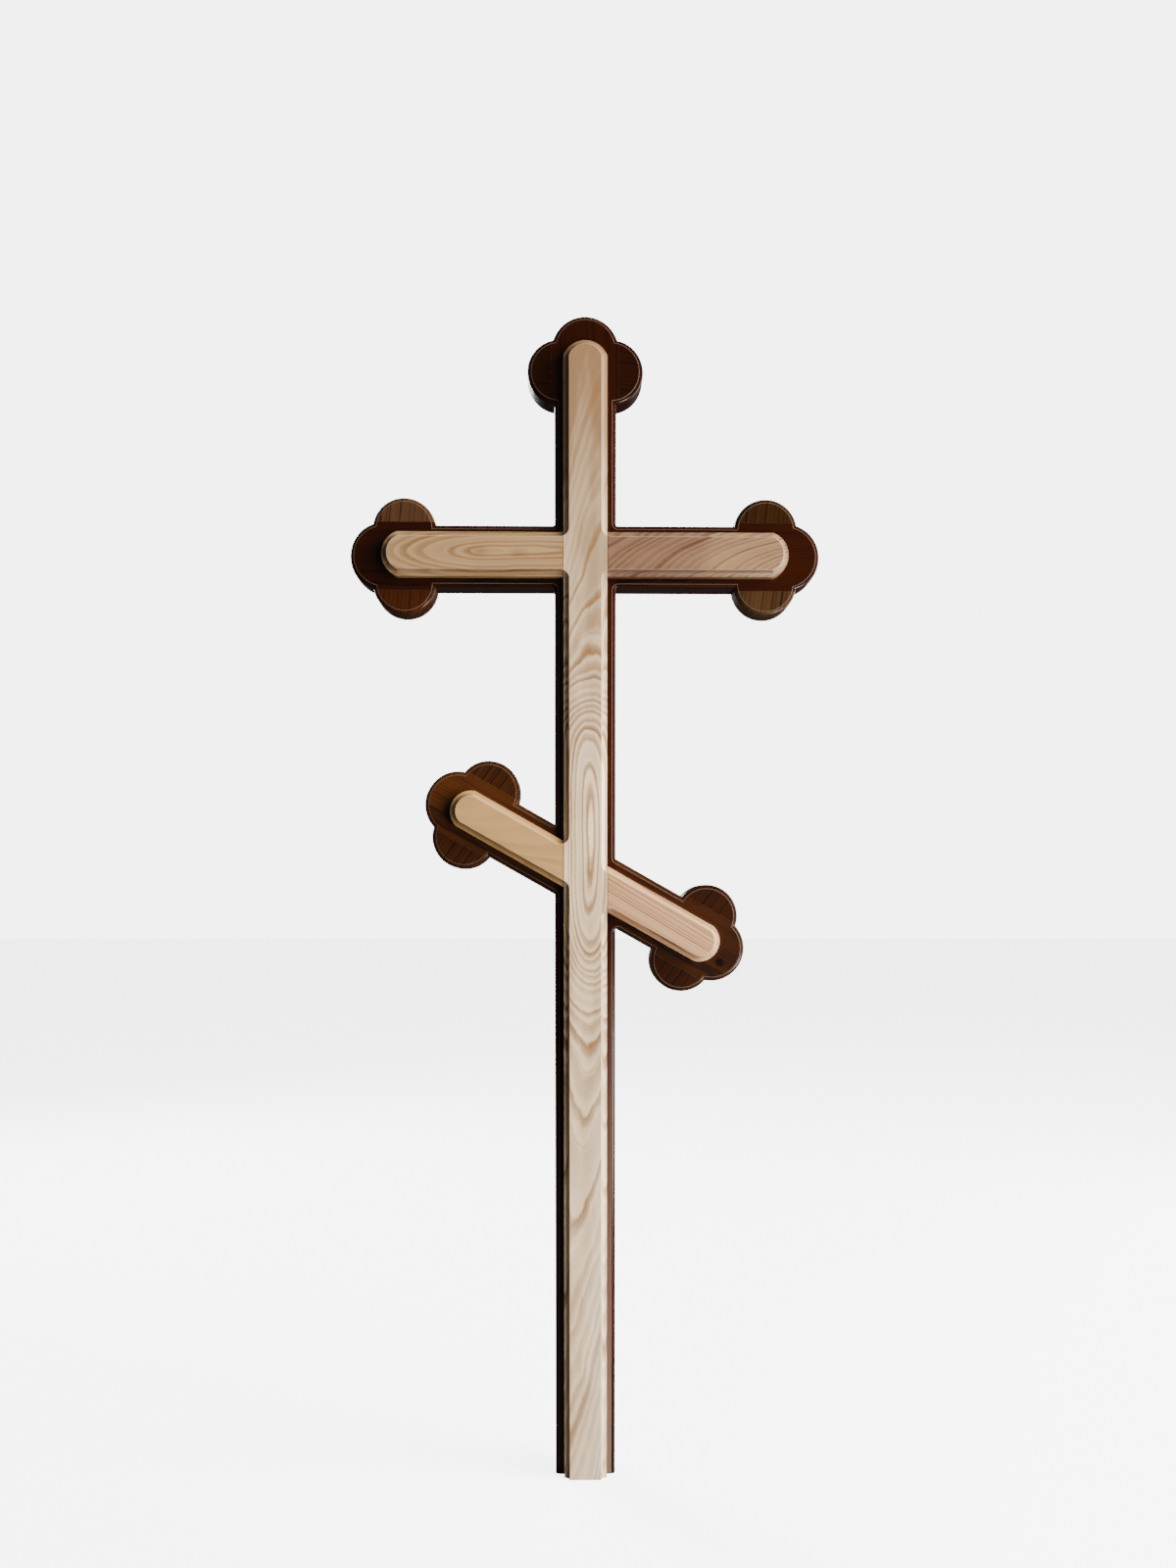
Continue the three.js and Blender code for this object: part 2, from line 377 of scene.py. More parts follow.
class Graph:
    """A node tree that grows one node at a time."""

    def __init__(self, tree: bpy.types.NodeTree) -> None:
        """Starts on a tree."""
        self.tree = tree

    def add(self, kind: str, inputs: dict | Sequence = (), operation: str = "", output: str | int = 0,
            **settings) -> bpy.types.NodeSocket | None:
        """Adds a node with its settings and links.

        Args:
            kind: The node's type.
            inputs: Sockets to link or values to set, by name or in order.
            operation: What a node with a choice of operations does.
            output: The output that is wanted.
            **settings: Other properties of the node.

        Returns:
            The wanted output socket, or None for a node without outputs.
        """
        node = self.tree.nodes.new(kind)
        if operation:
            node.operation = operation
        for name, value in settings.items():
            setattr(node, name, value)
        for key, value in inputs.items() if isinstance(inputs, dict) else enumerate(inputs):
            socket = socket_at(node.inputs, key)
            if isinstance(value, bpy.types.NodeSocket):
                self.tree.links.new(value, socket)
            else:
                socket.default_value = value
        return socket_at(node.outputs, output) if node.outputs else None


def finished(piece: bpy.types.Object, sizes: dict[str, float | int | bpy.types.Material],
             tree: bpy.types.NodeTree) -> bpy.types.Object:
    """Runs a geometry tree on a piece and keeps the result as a plain mesh.

    Args:
        piece: The object that the tree works on.
        sizes: The tree's inputs by name.
        tree: The geometry tree.

    Returns:
        The same object with its finished mesh and no modifier.
    """
    modifier = piece.modifiers.new(tree.name, "NODES")
    modifier.node_group = tree
    for item in tree.interface.items_tree:
        if item.item_type == "SOCKET" and item.in_out == "INPUT" and item.name in sizes:
            modifier[item.identifier] = sizes[item.name]
    graph = bpy.context.evaluated_depsgraph_get()
    mesh = bpy.data.meshes.new_from_object(piece.evaluated_get(graph), depsgraph=graph)
    piece.modifiers.remove(modifier)
    rough = piece.data
    piece.data = mesh
    bpy.data.meshes.remove(rough)
    mesh.name = piece.name
    return piece


def geometry_tree(name: str, inputs: dict[str, str]) -> tuple[Graph, bpy.types.Node, bpy.types.Node]:
    """Starts a geometry tree with a geometry input and named sizes.

    Args:
        name: The tree's name.
        inputs: The kind of socket of each named input.

    Returns:
        The graph and its group input and output nodes.
    """
    tree = bpy.data.node_groups.new(name, "GeometryNodeTree")
    tree.interface.new_socket("Geometry", in_out="INPUT", socket_type="NodeSocketGeometry")
    for label, kind in inputs.items():
        tree.interface.new_socket(label, in_out="INPUT", socket_type=kind)
    tree.interface.new_socket("Geometry", in_out="OUTPUT", socket_type="NodeSocketGeometry")
    return Graph(tree), tree.nodes.new("NodeGroupInput"), tree.nodes.new("NodeGroupOutput")


def lobe_tree() -> bpy.types.NodeTree:
    """Builds the tree that runs a moulding's profile round a glued side lobe.

    The geometry that comes in is the profile: each point's X is the inset, its Y the easing of the
    glued joint and its Z the distance out. The tree bends a drum round it and lays it on its arm.

    Returns:
        The geometry tree.
    """
    graph, given, result = geometry_tree("run_moulding_round_lobe", {
        "Lobe radius": "NodeSocketFloat",
        "Centre aside": "NodeSocketFloat",
        "Joint aside": "NodeSocketFloat",
        "Along arm": "NodeSocketFloat",
        "Side": "NodeSocketFloat",
        "Arm height": "NodeSocketFloat",
        "Arm angle": "NodeSocketFloat",
        "Steps round": "NodeSocketInt",
        "Levels": "NodeSocketInt",
        "Finish": "NodeSocketMaterial",
    })
    size = given.outputs
    vertices = graph.add(MATH, (size["Steps round"], 1.0))
    bands = graph.add(MATH, (size["Levels"], 1.0), "SUBTRACT")
    drum = graph.add("GeometryNodeMeshCylinder", {
        "Vertices": vertices, "Side Segments": bands, "Radius": 1.0, "Depth": 1.0,
    }, output="Mesh", fill_type="NGON")
    position = graph.add("GeometryNodeInputPosition")
    # The pale edge line, partly rubbed wear and partly painted highlight, read off the profile
    wear_and_sheen = graph.add("GeometryNodeInputNamedAttribute", {"Name": WEAR_AND_SHEEN}, data_type="FLOAT")
    at = graph.add(SEPARATE, (position,)).node.outputs
    turn = graph.add(MATH, (at["Y"], at["X"]), "ARCTAN2")
    turned = graph.add(MATH, (turn, math.tau, 0.0), "WRAP")
    slice_angle = graph.add(MATH, (math.tau, vertices), "DIVIDE")
    number = graph.add(MATH, (graph.add(MATH, (turned, slice_angle), "DIVIDE"),), "ROUND")
    whole = graph.add(MATH, (number, vertices), "FLOORED_MODULO")
    share = graph.add(MATH, (whole, size["Steps round"]), "DIVIDE")
    raised = graph.add(MATH, (at["Z"], 0.5))
    level = graph.add(MATH, (graph.add(MATH, (raised, bands), "MULTIPLY"),), "ROUND")
    profile, worn_and_sheen = [
        graph.add("GeometryNodeSampleIndex", {"Geometry": size["Geometry"], "Value": value, "Index": level},
                  data_type=kind, domain="POINT")
        for value, kind in ((position, "FLOAT_VECTOR"), (wear_and_sheen, "FLOAT"))
    ]
    cut = graph.add(SEPARATE, (profile,)).node.outputs
    radius = graph.add(MATH, (size["Lobe radius"], cut["X"]), "SUBTRACT")
    joint = graph.add(MATH, (size["Joint aside"], cut["Y"]))
    rise = graph.add(MATH, (joint, size["Centre aside"]), "SUBTRACT")
    chord = graph.add(MATH, (graph.add(MATH, (rise, radius), "DIVIDE"),), "ARCSINE")
    open_angle = graph.add(MATH, (chord, -2.0, math.pi), "MULTIPLY_ADD")
    angle = graph.add(MATH, (share, open_angle, chord), "MULTIPLY_ADD")
    ahead = graph.add(MATH, (radius, graph.add(MATH, (angle,), "COSINE")), "MULTIPLY")
    aside = graph.add(MATH, (radius, graph.add(MATH, (angle,), "SINE"), size["Centre aside"]), "MULTIPLY_ADD")
    along = graph.add(MATH, (ahead, size["Side"], size["Along arm"]), "MULTIPLY_ADD")
    out = graph.add(MATH, (cut["Z"], -1.0), "MULTIPLY")
    sided = graph.add(MATH, (aside, size["Side"]), "MULTIPLY")
    place = graph.add(COMBINE, (along, out, sided))
    marked = graph.add("GeometryNodeStoreNamedAttribute", {"Geometry": drum, "Name": WEAR_AND_SHEEN, "Value": worn_and_sheen},
                       data_type="FLOAT", domain="POINT")
    bent = graph.add("GeometryNodeSetPosition", {"Geometry": marked, "Position": place})
    tilt = graph.add(MATH, (size["Arm angle"], -1.0), "MULTIPLY")
    laid = graph.add("GeometryNodeTransform", {
        "Geometry": bent,
        "Translation": graph.add(COMBINE, (0.0, 0.0, size["Arm height"])),
        "Rotation": graph.add(COMBINE, (0.0, tilt, 0.0)),
    })
    real = graph.add("GeometryNodeRealizeInstances", {"Geometry": laid})
    dressed = graph.add("GeometryNodeSetMaterial", {"Geometry": real, "Material": size["Finish"]})
    graph.tree.links.new(dressed, result.inputs["Geometry"])
    return graph.tree


def half_lap_tree(laps: int) -> bpy.types.NodeTree:
    """Builds the tree that cuts half-lap joints across a timber.

    Args:
        laps: How many joints it cuts.

    Returns:
        The geometry tree.
    """
    inputs = {"Width": "NodeSocketFloat", "Length": "NodeSocketFloat", "Nearest": "NodeSocketFloat",
              "Furthest": "NodeSocketFloat", "Finish": "NodeSocketMaterial"}
    for number in range(laps):
        inputs[f"Height {number}"] = "NodeSocketFloat"
        inputs[f"Angle {number}"] = "NodeSocketFloat"
    graph, given, result = geometry_tree(f"cut_half_laps_{laps}", inputs)
    size = given.outputs
    timber = size["Geometry"]
    depth = graph.add(MATH, (size["Furthest"], size["Nearest"]), "SUBTRACT")
    middle = graph.add(MATH, (graph.add(MATH, (size["Furthest"], size["Nearest"])), 0.5), "MULTIPLY")
    block_size = graph.add(COMBINE, (size["Length"], depth, size["Width"]))
    block = graph.add("GeometryNodeMeshCube", {"Size": block_size}, output="Mesh")
    for number in range(laps):
        placed = graph.add("GeometryNodeTransform", {
            "Geometry": block,
            "Translation": graph.add(COMBINE, (0.0, middle, size[f"Height {number}"])),
            "Rotation": graph.add(COMBINE, (0.0, size[f"Angle {number}"], 0.0)),
        })
        timber = graph.add("GeometryNodeMeshBoolean", {"Mesh 1": timber, "Mesh 2": placed}, "DIFFERENCE",
                           output="Mesh", solver="EXACT")
    real = graph.add("GeometryNodeRealizeInstances", {"Geometry": timber})
    dressed = graph.add("GeometryNodeSetMaterial", {"Geometry": real, "Material": size["Finish"]})
    graph.tree.links.new(dressed, result.inputs["Geometry"])
    return graph.tree


EVEN = ((0.0, 0.0), (1.0, 0.0))


@dataclass(frozen=True)
class Grain:
    """How a board was cut from the log, in its own frame: along the grain, across it and into it.

    The pith is the middle of the log. Its depth behind the board's front and its offset across the
    board change along the board, and the growth rings that the surface cuts draw the figure.
    """

    origin: Point
    direction: float
    front: float
    pith_depth: tuple[Point, ...]
    pith_offset: tuple[Point, ...]
    ring_width: float
    waviness: float
    seed: float
    toning: tuple[Point, ...] = EVEN
    butted: bool = False


@dataclass(frozen=True)
class Spot:
    """A pin knot or a stain of heartwood on a board's face, with its place in the board's frame."""

    across: float
    along: float
    half_width: float
    half_length: float
    strength: float


@dataclass(frozen=True)
class WoodLook:
    """Colours and gloss of one wood under its lacquer."""

    ground: str
    ring: str
    tint: str
    # Colour and strength of the pale edge line: partly rubbed wear, partly painted highlight
    worn_and_sheen: str
    wear_and_sheen_strength: float
    ring_stops: tuple[Point, ...]
    ring_strength: float
    fibre_strength: float
    pore_strength: float
    roughness: float
    specular: float
    coat: float
    coat_roughness: float
    relief: float


# Latewood closes each ring of ash and the next one opens with a dark line of large pores
ASH_RING = ((0.0, 0.50), (0.16, 1.0), (0.46, 0.74), (0.70, 0.18), (0.88, 0.0), (1.0, 0.50))

# Stained pine shows a broad ring of soft earlywood and a thin hard line of latewood
PINE_RING = ((0.0, 0.10), (0.40, 0.18), (0.66, 0.55), (0.86, 1.0), (0.94, 0.9), (1.0, 0.10))

# Rings run wide and narrow in turn: how quickly that changes with the years and how far it pushes them
RING_PACE = 0.45
RING_SPREAD = 1.3

# The faintest ring's share of the darkest one
FAINTEST_RING = 0.25

# How far the patches of colour go from the ground towards the tint
PATCH_SHARE = 0.3

# Where the glue line and painted shade of the gap at a butt joint end and where they are at their darkest, in
# millimetres from the centre line
JOINT_FADE = (40.8, 39.8)

# Clear lacquer: how strongly it bends light and how high its ripples are, in millimetres
LACQUER_IOR = 1.5
RIPPLE = 0.07


@dataclass(frozen=True)
class Streaks:
    """Noise drawn out along the grain: a patch's size in millimetres, its finer layers and a shift."""

    width: float
    length: float
    detail: float
    shift: float


# What bends the rings, then the fibre, the open pores, the patches of colour and the flow of the lacquer
BEND = Streaks(46.0, 120.0, 4.0, 0.0)
FIBRE = Streaks(1.1, 60.0, 3.0, 3.0)
PORES = Streaks(0.55, 7.0, 1.0, 5.0)
PATCHES = Streaks(38.0, 190.0, 2.0, 7.0)
FLOW = Streaks(9.0, 26.0, 1.0, 11.0)


class Wood:
    """A procedural wood material, worked out in the solid so that faces, edges and ends agree."""

    def __init__(self, name: str, look: WoodLook, grain: Grain, spots: Sequence[Spot] = ()) -> None:
        """Keeps what the wood is made of."""
        self.name = name
        self.look = look
        self.grain = grain
        self.spots = spots
        self.material = bpy.data.materials.new(name)
        self.material.use_nodes = True
        self.material.node_tree.nodes.clear()
        self.graph = Graph(self.material.node_tree)

    def along_board(self, place: bpy.types.NodeSocket, points: Sequence[Point]) -> bpy.types.NodeSocket:
        """Reads a value that changes along the board off a smooth curve.

        Args:
            place: The distance along the board in millimetres.
            points: Distances and values in millimetres.

        Returns:
            The value's socket.
        """
        first, last = points[0][0], points[-1][0]
        low, high = min(p[1] for p in points), max(p[1] for p in points)
        if high - low < 1e-6:
            return self.graph.add(MATH, (low, 0.0))
        share = self.graph.add("ShaderNodeMapRange", {"Value": place, "From Min": first, "From Max": last})
        value = self.graph.add("ShaderNodeFloatCurve", {"Value": share})
        curve = value.node.mapping.curves[0]
        for _ in range(len(points) - 2):
            curve.points.new(0.5, 0.5)
        for point, (x, y) in zip(curve.points, points):
            point.location = ((x - first) / (last - first), (y - low) / (high - low))
        value.node.mapping.update()
        return self.graph.add(MATH, (value, high - low, low), "MULTIPLY_ADD")

    def stretched(self, place: bpy.types.NodeSocket, streaks: Streaks) -> bpy.types.Node:
        """Adds noise that is drawn out along the grain, shifted so that no two boards are alike.

        Args:
            place: The place in the board's frame in millimetres.
            streaks: The size and detail of its patches.

        Returns:
            The noise node.
        """
        shift = self.grain.seed + streaks.shift
        scale = (1 / streaks.width, 1 / streaks.width, 1 / streaks.length)
        scaled = self.graph.add(VECTOR_MATH, (place, scale), "MULTIPLY")
        moved = self.graph.add(VECTOR_MATH, (scaled, (shift, shift * 1.7, shift * 2.3)), "ADD")
        noise = self.graph.add("ShaderNodeTexNoise", {
            "Vector": moved, "Scale": 1.0, "Detail": streaks.detail,
        })
        return noise.node

    def rings(self, place: bpy.types.NodeSocket) -> bpy.types.NodeSocket:
        """Cuts the log's growth rings with the board's surface.

        Args:
            place: The place in the board's frame in millimetres.

        Returns:
            How dark the ring is there, from 0 to 1.
        """
        grain, graph = self.grain, self.graph
        bend = self.stretched(place, BEND).outputs["Color"]
        centred = graph.add(VECTOR_MATH, (bend, (0.5, 0.5, 0.5)), "SUBTRACT")
        sway = graph.add(VECTOR_MATH, (centred, (grain.waviness, grain.waviness, 0.0)), "MULTIPLY")
        at = graph.add(SEPARATE, (graph.add(VECTOR_MATH, (place, sway), "ADD"),))
        across, depth, along = at.node.outputs
        aside = graph.add(MATH, (across, self.along_board(along, grain.pith_offset)), "SUBTRACT")
        behind = graph.add(MATH, (depth, grain.front))
        inwards = graph.add(MATH, (behind, self.along_board(along, grain.pith_depth)), "SUBTRACT")
        radius = graph.add(VECTOR_MATH, (graph.add(COMBINE, (aside, inwards, 0.0)),), "LENGTH", "Value")
        years = graph.add(MATH, (radius, grain.ring_width), "DIVIDE")
        paced = graph.add(MATH, (years, RING_PACE), "MULTIPLY")
        uneven = graph.add("ShaderNodeTexNoise", {"W": paced, "Scale": 1.0, "Detail": 1.0},
                           noise_dimensions="1D")
        count = graph.add(MATH, (uneven, RING_SPREAD, years), "MULTIPLY_ADD")
        year = graph.add(MATH, (count,), "FLOOR")
        tone = graph.add("ShaderNodeValToRGB", (graph.add(MATH, (count,), "FRACT"),))
        ramp = tone.node.color_ramp
        ramp.interpolation = "EASE"
        for _ in range(len(self.look.ring_stops) - 2):
            ramp.elements.new(0.5)
        for element, (position, value) in zip(ramp.elements, self.look.ring_stops):
            element.position = position
            element.color = (value, value, value, 1.0)
        luck = graph.add("ShaderNodeTexWhiteNoise", {"W": year}, output="Value", noise_dimensions="1D")
        share = graph.add(MATH, (luck, 1 - FAINTEST_RING, FAINTEST_RING), "MULTIPLY_ADD")
        return graph.add(MATH, (tone, share), "MULTIPLY")

    def spotted(self, place: bpy.types.NodeSocket) -> bpy.types.NodeSocket | None:
        """Marks the knots and stains.

        Args:
            place: The place in the board's frame in millimetres.

        Returns:
            How dark the marks are, or None where the board is clear.
        """
        graph = self.graph
        total = None
        for spot in self.spots:
            moved = graph.add(VECTOR_MATH, (place, (spot.across, 0.0, spot.along)), "SUBTRACT")
            shrink = (1 / spot.half_width, 0.0, 1 / spot.half_length)
            scaled = graph.add(VECTOR_MATH, (moved, shrink), "MULTIPLY")
            distance = graph.add(VECTOR_MATH, (scaled,), "LENGTH", "Value")
            mark = graph.add("ShaderNodeMapRange", {
                "Value": distance, "From Min": 1.0, "From Max": 0.0, "To Max": spot.strength,
            }, interpolation_type="SMOOTHSTEP")
            total = mark if total is None else graph.add(MATH, (total, mark))
        return total

    def joint_line(self, raw: bpy.types.NodeSocket) -> bpy.types.NodeSocket:
        """Marks the glue line and the painted shade of the gap at a butt joint against the upright board.

        Args:
            raw: The object coordinates in metres.

        Returns:
            How dark the line is.
        """
        x = self.graph.add(SEPARATE, (raw,), output="X")
        aside = self.graph.add(MATH, (x,), "ABSOLUTE")
        unmarked_at, darkest_at = JOINT_FADE
        return self.graph.add("ShaderNodeMapRange", {
            "Value": aside, "From Min": unmarked_at * MM, "From Max": darkest_at * MM, "To Max": 1.0,
        })

    def build(self) -> bpy.types.Material:
        """Builds the material.

        Returns:
            The finished material.
        """
        graph, look, grain = self.graph, self.look, self.grain
        raw = graph.add("ShaderNodeTexCoord", output="Object")
        place = graph.add("ShaderNodeMapping", {
            "Vector": raw,
            "Location": (grain.origin[0] * MM, 0.0, grain.origin[1] * MM),
            "Rotation": (0.0, math.pi / 2 - grain.direction, 0.0),
            "Scale": (MM, MM, MM),
        }, vector_type="TEXTURE")
        ring = self.rings(place)
        fibre, pore_noise, patch, flow = [
            self.stretched(place, streaks).outputs[0] for streaks in (FIBRE, PORES, PATCHES, FLOW)
        ]
        pore = graph.add("ShaderNodeMapRange", {"Value": pore_noise, "From Min": 0.58, "From Max": 0.72})
        pore_share = graph.add(MATH, (ring, 0.8, 0.2), "MULTIPLY_ADD")
        pores = graph.add(MATH, (pore, pore_share), "MULTIPLY")
        patchy = graph.add("ShaderNodeMapRange", {"Value": patch, "From Min": 0.38, "From Max": 0.68})

        toning = self.along_board(graph.add(SEPARATE, (place,), output="Z"), grain.toning)
        toned = graph.add(MATH, (patchy, PATCH_SHARE, toning), "MULTIPLY_ADD", use_clamp=True)
        base = graph.add("ShaderNodeMix", {"Factor": toned, "A": srgb(look.ground), "B": srgb(look.tint)},
                         data_type="RGBA")
        uneven = graph.add(MATH, (patch, 1.2 * look.ring_strength, 0.4 * look.ring_strength), "MULTIPLY_ADD")
        lines = graph.add(MATH, (ring, uneven), "MULTIPLY")
        streak = graph.add(MATH, (fibre, look.fibre_strength, -look.fibre_strength / 2), "MULTIPLY_ADD")
        plain = graph.add(MATH, (lines, streak))
        dark = graph.add(MATH, (pores, look.pore_strength, plain), "MULTIPLY_ADD", use_clamp=True)
        marks = self.spotted(place)
        if marks is not None:
            dark = graph.add(MATH, (dark, marks), use_clamp=True)
        # Glue line and painted shade of the gap at the butt joint
        if grain.butted:
            dark = graph.add(MATH, (dark, self.joint_line(raw)), use_clamp=True)
        stained = graph.add("ShaderNodeMix", {"Factor": dark, "A": base, "B": srgb(look.ring)},
                            data_type="RGBA")
        # Pale line along the eased arris: partly rubbed lacquer wear, partly painted highlight
        wear_and_sheen = graph.add("ShaderNodeAttribute", output="Fac", attribute_name=WEAR_AND_SHEEN)
        rubbed_and_sheen = graph.add(MATH, (wear_and_sheen, look.wear_and_sheen_strength), "MULTIPLY")
        colour = graph.add("ShaderNodeMix", {"Factor": rubbed_and_sheen, "A": stained, "B": srgb(look.worn_and_sheen)},
                           data_type="RGBA")

        height = graph.add(MATH, (dark, -1.0, 1.0), "MULTIPLY_ADD")
        relief = graph.add("ShaderNodeBump", {
            "Strength": 0.6, "Distance": look.relief * MM, "Height": height,
        })
        gloss = graph.add(MATH, (ring, 0.10, look.roughness), "MULTIPLY_ADD")
        skin = graph.add("ShaderNodeBump", {"Strength": 0.4, "Distance": RIPPLE * MM, "Height": flow})
        shader = graph.add("ShaderNodeBsdfPrincipled", {
            "Base Color": colour, "Roughness": gloss, "Normal": relief, "IOR": LACQUER_IOR,
            "Specular IOR Level": look.specular, "Coat Weight": look.coat,
            "Coat Roughness": look.coat_roughness, "Coat IOR": LACQUER_IOR, "Coat Normal": skin,
        })
        graph.add("ShaderNodeOutputMaterial", {"Surface": shader})
        return self.material


def dress(piece: bpy.types.Object, material: bpy.types.Material, node: str) -> bpy.types.Object:
    """Gives a piece its finish and puts it in the place of its CAD node.

    Args:
        piece: The finished mesh.
        material: Its wood.
        node: The CAD node that it stands for.

    Returns:
        The piece.
    """
    piece.data.materials.clear()
    piece.data.materials.append(material)
    piece.data.shade_smooth()
    piece.data.set_sharp_from_angle(angle=SMOOTH_ANGLE)
    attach(piece, BODY)
    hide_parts(node)
    log.info("%s: %d faces", piece.name, len(piece.data.polygons))
    return piece


@dataclass(frozen=True)
class CrossSizes:
    """Where the five arms lie and how deep each layer is, read off the frame."""

    beam_half: float
    beam_back: float
    beam_front: float
    board_back: float
    board_front: float
    arms: dict[str, Arm]

    @classmethod
    def from_frame(cls) -> "CrossSizes":
        """Reads the sizes off the CAD nodes, but for the few that their boxes can't show.

        Returns:
            The sizes in millimetres.
        """
        beam_half, slanted_board_half, slanted_setback, tip_radius = 55.0, 36.0, 50.0, 60.0
        fall = math.radians(29.5)
        box = {name: [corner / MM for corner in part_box(name)] for name in frame["nodes"]}
        upright, crossbar, slanted = box["base_upright"], box["base_crossbar"], box["base_slanted_bar"]
        board = box["overlay_upright"]
        half = board[1].x
        crossbar_height = (crossbar[0].z + crossbar[1].z) / 2
        level = (crossbar[1].x, box["overlay_right_arm"][1].x, half)
        slanted_height = (slanted[0].z + slanted[1].z) / 2
        slanted_reach = (slanted[1].x - tip_radius) / math.cos(fall) + tip_radius
        sloping = (slanted_reach, slanted_reach - slanted_setback, slanted_board_half)
        return cls(
            beam_half=beam_half, beam_back=-upright[1].y, beam_front=-upright[0].y,
            board_back=-board[1].y, board_front=-board[0].y,
            arms={
                "top": Arm(0.0, math.pi / 2, upright[1].z, board[1].z, half),
                "left": Arm(crossbar_height, math.pi, *level),
                "right": Arm(crossbar_height, 0.0, *level),
                "slanted_left": Arm(slanted_height, math.pi - fall, *sloping),
                "slanted_right": Arm(slanted_height, -fall, *sloping),
            },
        )


@dataclass
class Layer(ABC):
    """One layer of the cross: an upright and two bars across it, with one moulding and one kind of end."""

    sizes: CrossSizes
    bearing: float

    @abstractmethod
    def half_width(self, arm: Arm) -> float:
        """Half the width of an arm in this layer."""

    @abstractmethod
    def end(self, arm: Arm, level: Level) -> Outline:
        """Outline of an arm's end at one level, from the arm's right edge round the tip to its left edge."""

    def corner(self, bar: Arm, side: int, edge: int) -> InnerCorner:
        """Inner corner of a bar and the upright on one side and one edge."""
        upright = self.half_width(self.sizes.arms["top"])
        return InnerCorner(upright, self.half_width(bar), bar.height, bar.slope, side, edge, self.bearing)

    def upright_outline(self, level: Level) -> Outline:
        """Draws the upright, from its cut foot up one side, round the top and down the other.

        Args:
            level: The height on the moulding.

        Returns:
            The closed outline.
        """
        top = self.sizes.arms["top"]
        bars = [self.sizes.arms[name] for name in ("slanted_right", "right")]
        x = self.half_width(top) - level.inset
        right, left = [(x, 0.0)], []
        for bar in bars:
            right += self.corner(bar, 1, -1).on_upright(level)
            right += reversed(self.corner(bar, 1, 1).on_upright(level))
        for bar in reversed(bars):
            left += self.corner(bar, -1, 1).on_upright(level)
            left += reversed(self.corner(bar, -1, -1).on_upright(level))
        return [*right, *self.end(top, level), *left, (-x, 0.0)]


